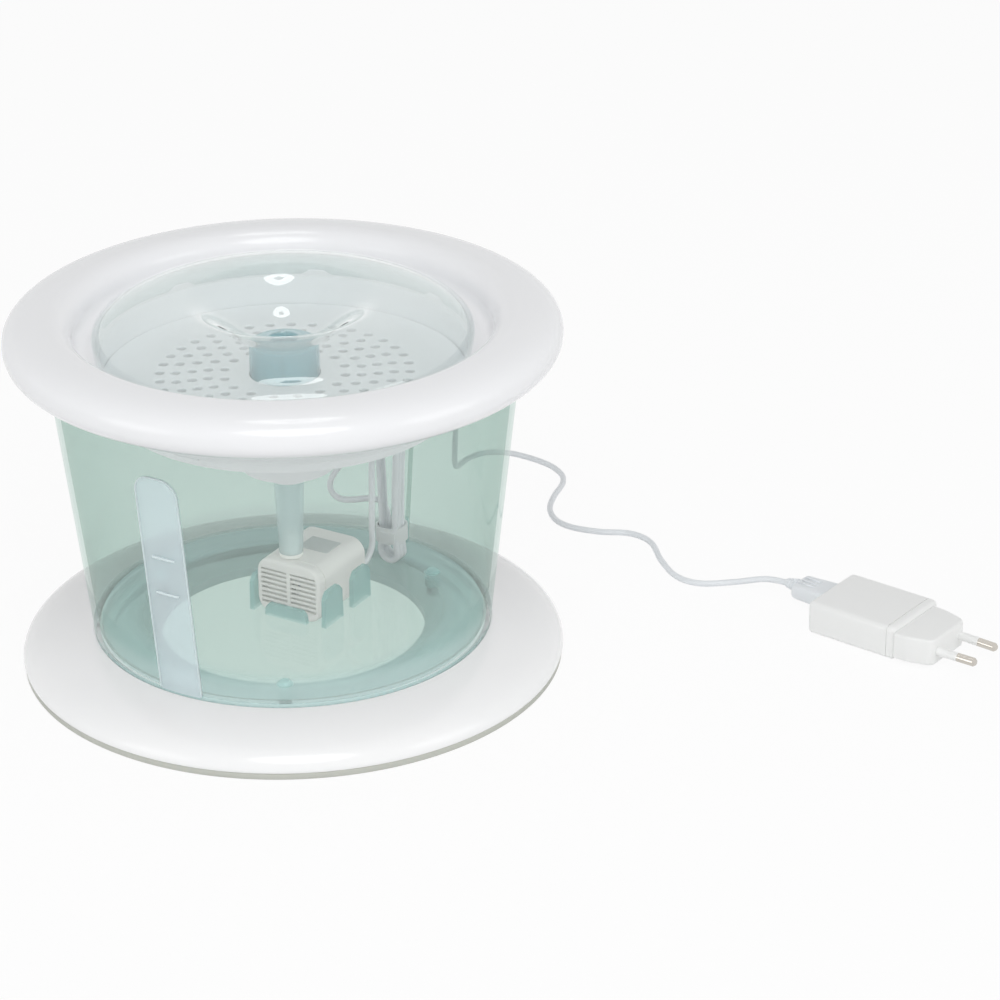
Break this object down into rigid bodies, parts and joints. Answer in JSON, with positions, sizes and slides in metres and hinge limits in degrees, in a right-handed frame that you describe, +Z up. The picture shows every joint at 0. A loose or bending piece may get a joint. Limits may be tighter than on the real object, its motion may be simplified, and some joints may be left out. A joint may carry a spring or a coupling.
{
  "type": "pet water fountain",
  "caption": "Free-standing pet water fountain: clear tinted tank on a flared skirt, lift-off drinking bowl, filter, flowing dome, submersible pump and plug-in charger.",
  "frame": {"origin": "centre of the round base, on the table", "axes": "+Z up; the level window is at -Y and the lead leaves over the rim at +Y"},
  "size_m": [0.3996, 0.3474, 0.1674],
  "materials": {
    "white_abs": "gloss white moulding",
    "grey_rubber": "matt warm grey",
    "tinted_clear": "clear, tinted blue-green",
    "dome_clear": "clear, faint blue-green",
    "clear_window": "clear, pale blue",
    "steel": "bright",
    "filter_foam": "open, dark",
    "pump_plastic": "satin off-white",
    "potting": "cast resin",
    "impeller_plastic": "satin blue",
    "magnet": "moulded ferrite",
    "ceramic_white": "ground ceramic",
    "lead_jacket": "satin white",
    "charger_plastic": "gloss white moulding",
    "nickel": "nickel plate"
  },
  "bodies": {
    "fountain": {"base_skirt": "white_abs", "anti_slip_ring": "grey_rubber", "clamp_ring": "tinted_clear", "base_screws": "steel", "tank": "tinted_clear", "level_window": "clear_window", "rim_grommet": "lead_jacket", "riser_tube": "tinted_clear", "pump_housing": "pump_plastic", "pump_cover": "pump_plastic", "volute_plate": "pump_plastic", "stator": "potting", "impeller_shaft": "ceramic_white", "shaft_bushes": "grey_rubber", "pump_gland": "lead_jacket", "pump_lead": "lead_jacket", "lead_hank": "lead_jacket", "hank_tie": "lead_jacket", "rim_lead": "lead_jacket", "outer_lead": "lead_jacket", "usb_plug": "lead_jacket", "usb_shell": "steel"},
    "drinking_bowl": {"bowl": "white_abs", "filter_tray": "white_abs"},
    "filter": {"filter_pad": "filter_foam"},
    "cover": {"filter_cover": "white_abs"},
    "flow_dome": {"dome": "dome_clear", "dome_hub": "tinted_clear"},
    "rotor": {"impeller": "impeller_plastic", "rotor_magnet": "magnet"},
    "charger": {"charger_body": "charger_plastic", "charger_nose": "charger_plastic", "pin_sleeves": "charger_plastic", "plug_pins": "nickel"}
  },
  "joints": [
    {"name": "bowl_lift", "type": "slide", "parent": "fountain", "child": "drinking_bowl", "axis": [0, 0, 1], "range_m": [0, 0.07]},
    {"name": "filter_lift", "type": "slide", "parent": "drinking_bowl", "child": "filter", "axis": [0, 0, 1], "range_m": [0, 0.05]},
    {"name": "cover_lift", "type": "slide", "parent": "filter", "child": "cover", "axis": [0, 0, 1], "range_m": [0, 0.04]},
    {"name": "dome_lift", "type": "slide", "parent": "cover", "child": "flow_dome", "axis": [0, 0, 1], "range_m": [0, 0.03]},
    {"name": "rotor_spin", "type": "hinge", "parent": "fountain", "child": "rotor", "pos_m": [0.0034, 0, 0.03275], "axis": [0, 1, 0], "continuous": true},
    {"name": "charger_pull", "type": "slide", "parent": "fountain", "child": "charger", "axis": [0.9903, -0.1392, 0], "range_m": [0, 0.015]}
  ]
}
